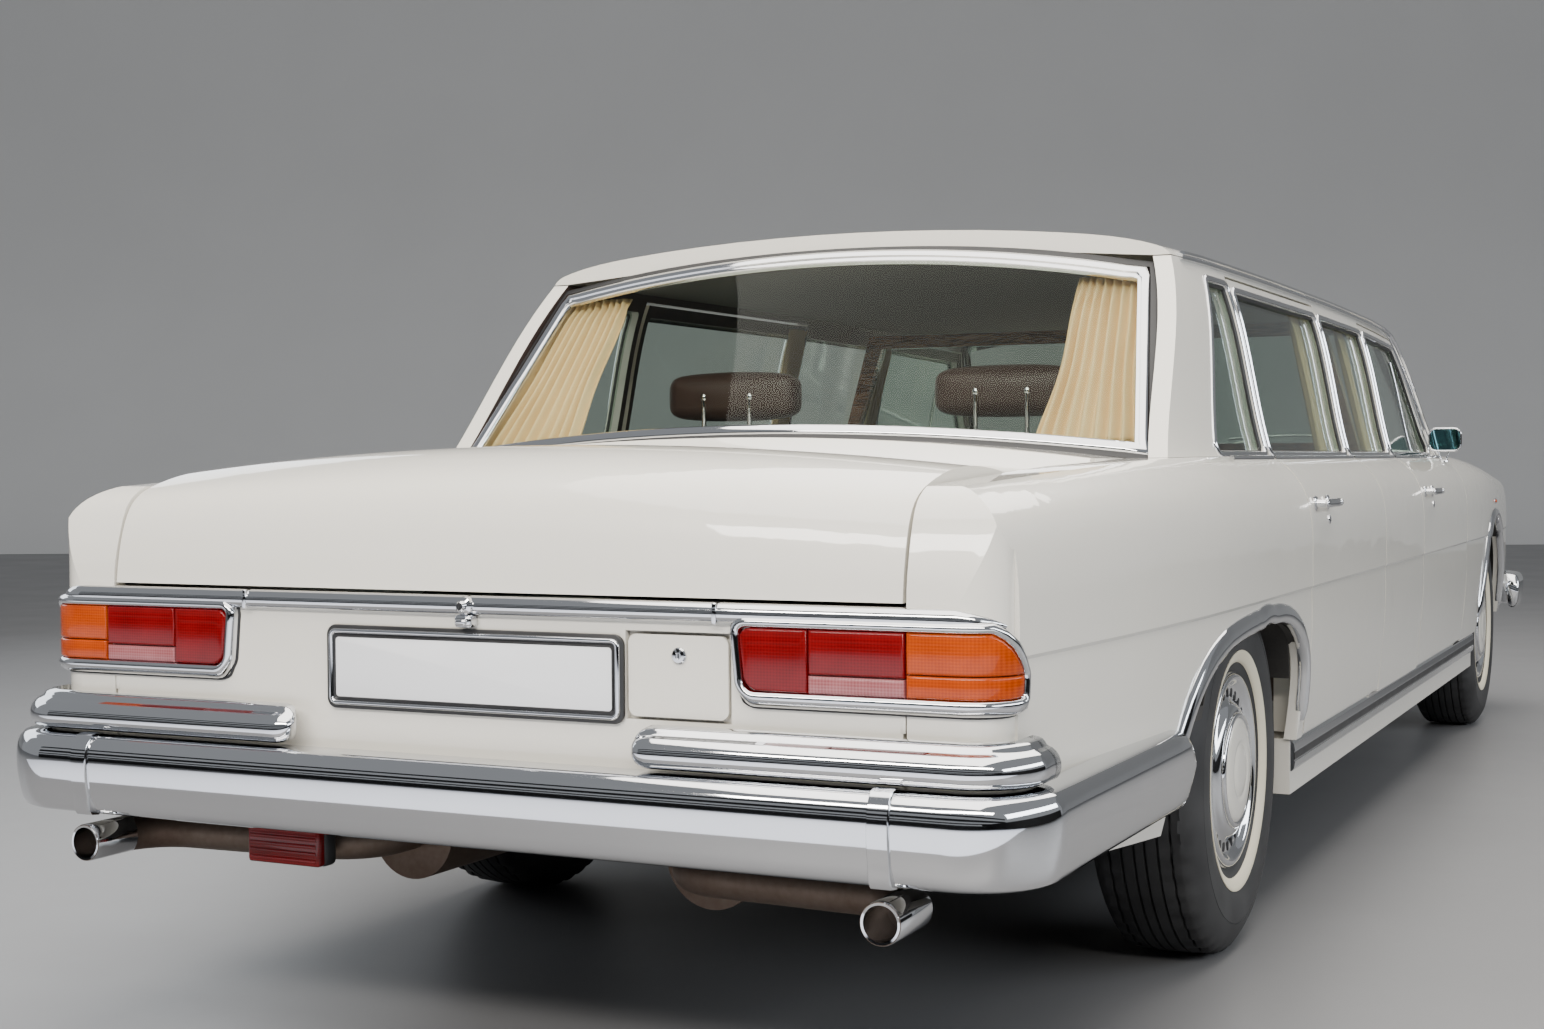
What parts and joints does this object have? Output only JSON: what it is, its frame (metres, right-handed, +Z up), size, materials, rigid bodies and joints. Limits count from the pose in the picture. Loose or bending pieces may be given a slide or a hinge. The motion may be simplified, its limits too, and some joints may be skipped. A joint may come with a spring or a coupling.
{
  "type": "four-door long-wheelbase limousine",
  "caption": "Long-wheelbase saloon limousine with fixed side panels between its doors, a partition, opening doors, bonnet and boot, and steered front wheels.",
  "frame": {"origin": "on the ground, midway between the bumpers' ends, on the car's centre line", "axes": "+X to the car's right, +Y forwards, +Z up"},
  "size_m": [1.97, 6.24, 1.5108],
  "materials": {
    "body_paint": "gloss solid paint",
    "chrome": "polished",
    "glass": "clear, faint green",
    "tyre_rubber": "matt, cream sidewall ring",
    "underbody": "satin black coat",
    "cast_metal": "bare cast",
    "leather": "dark brown leather",
    "curtain_cloth": "cream pleated cloth",
    "lamp_lens": "ribbed lens",
    "headlamp_glass": "fluted glass",
    "plate_blank": "blank white plate",
    "dash_wood": "polished veneer",
    "trim_cloth": "brown trim"
  },
  "bodies": {
    "root": {"floor_pan": "underbody", "sills": "underbody", "bulkhead": "body_paint", "rear_deck": "body_paint", "rear_quarters": "body_paint", "tail_panel": "body_paint", "front_wings": "body_paint", "front_panel": "body_paint", "side_frames": "body_paint", "roof_panel": "body_paint", "windscreen": "glass", "rear_window": "glass", "side_glass": "glass", "front_suspension": "underbody", "rear_axle": "cast_metal", "engine_block": "cast_metal", "exhaust_pipes": "underbody", "rear_bumper": "chrome", "front_bumper": "chrome", "radiator_grille": "chrome", "headlamps": "headlamp_glass", "tail_lamps": "lamp_lens", "fog_lamp": "lamp_lens", "number_plates": "plate_blank", "dashboard": "dash_wood", "front_seats": "leather", "rear_seat": "leather", "partition_wall": "trim_cloth", "partition_glass": "glass", "curtains": "curtain_cloth"},
    "bonnet": {"bonnet": "body_paint"},
    "boot_lid": {"boot_lid": "body_paint"},
    "fuel_flap": {"fuel_flap": "body_paint"},
    "steering_wheel": {"steering_wheel": "trim_cloth"},
    "knuckle_right": {"front_knuckle_right": "cast_metal"},
    "front_wheel_right": {"front_wheel_right": "chrome", "front_tyre_right": "tyre_rubber"},
    "rear_wheel_right": {"rear_wheel_right": "chrome", "rear_tyre_right": "tyre_rubber"},
    "front_door_right": {"front_door_right": "body_paint", "front_door_glass_right": "glass", "front_door_fittings_right": "chrome"},
    "rear_door_right": {"rear_door_right": "body_paint", "rear_door_glass_right": "glass", "rear_door_fittings_right": "chrome", "rear_door_curtain_right": "curtain_cloth"},
    "knuckle_left": {"front_knuckle_left": "cast_metal"},
    "front_wheel_left": {"front_wheel_left": "chrome", "front_tyre_left": "tyre_rubber"},
    "rear_wheel_left": {"rear_wheel_left": "chrome", "rear_tyre_left": "tyre_rubber"},
    "front_door_left": {"front_door_left": "body_paint", "front_door_glass_left": "glass", "front_door_fittings_left": "chrome"},
    "rear_door_left": {"rear_door_left": "body_paint", "rear_door_glass_left": "glass", "rear_door_fittings_left": "chrome", "rear_door_curtain_left": "curtain_cloth"}
  },
  "joints": [
    {"name": "bonnet_hinge", "type": "hinge", "parent": "root", "child": "bonnet", "pos_m": [0, 1.64, 1.042], "axis": [1, 0, 0], "range_deg": [0, 60]},
    {"name": "boot_lid_hinge", "type": "hinge", "parent": "root", "child": "boot_lid", "pos_m": [0, -2.12, 1.049], "axis": [-1, 0, 0], "range_deg": [0, 75]},
    {"name": "fuel_flap_hinge", "type": "hinge", "parent": "root", "child": "fuel_flap", "pos_m": [0.376, -3.025, 0.614], "axis": [1, 0, 0], "range_deg": [0, 85]},
    {"name": "steer_right", "type": "hinge", "parent": "root", "child": "knuckle_right", "pos_m": [0.715, 2.28, 0.371], "axis": [0, 0, 1], "range_deg": [-32, 32]},
    {"name": "front_wheel_spin_right", "type": "hinge", "parent": "knuckle_right", "child": "front_wheel_right", "pos_m": [0.7935, 2.28, 0.371], "axis": [1, 0, 0], "continuous": true},
    {"name": "rear_wheel_spin_right", "type": "hinge", "parent": "root", "child": "rear_wheel_right", "pos_m": [0.7905, -1.62, 0.371], "axis": [1, 0, 0], "continuous": true},
    {"name": "front_door_hinge_right", "type": "hinge", "parent": "root", "child": "front_door_right", "pos_m": [0.957, 1.407, 0.67], "axis": [0, 0, 1], "range_deg": [0, 65]},
    {"name": "rear_door_hinge_right", "type": "hinge", "parent": "root", "child": "rear_door_right", "pos_m": [0.957, -0.208, 0.67], "axis": [0, 0, 1], "range_deg": [0, 65]},
    {"name": "steer_left", "type": "hinge", "parent": "root", "child": "knuckle_left", "pos_m": [-0.715, 2.28, 0.371], "axis": [0, 0, 1], "range_deg": [-32, 32]},
    {"name": "front_wheel_spin_left", "type": "hinge", "parent": "knuckle_left", "child": "front_wheel_left", "pos_m": [-0.7935, 2.28, 0.371], "axis": [1, 0, 0], "continuous": true},
    {"name": "rear_wheel_spin_left", "type": "hinge", "parent": "root", "child": "rear_wheel_left", "pos_m": [-0.7905, -1.62, 0.371], "axis": [1, 0, 0], "continuous": true},
    {"name": "front_door_hinge_left", "type": "hinge", "parent": "root", "child": "front_door_left", "pos_m": [-0.957, 1.407, 0.67], "axis": [0, 0, -1], "range_deg": [0, 65]},
    {"name": "rear_door_hinge_left", "type": "hinge", "parent": "root", "child": "rear_door_left", "pos_m": [-0.957, -0.208, 0.67], "axis": [0, 0, -1], "range_deg": [0, 65]},
    {"name": "steering_wheel_turn", "type": "hinge", "parent": "root", "child": "steering_wheel", "pos_m": [-0.37, 1.085, 0.82], "axis": [0, -0.9397, 0.342], "range_deg": [-515, 515]}
  ],
  "couplings": [
    {"joint": "steer_left", "follows": "steer_right", "ratio": 1},
    {"joint": "steering_wheel_turn", "follows": "steer_right", "ratio": 16}
  ]
}
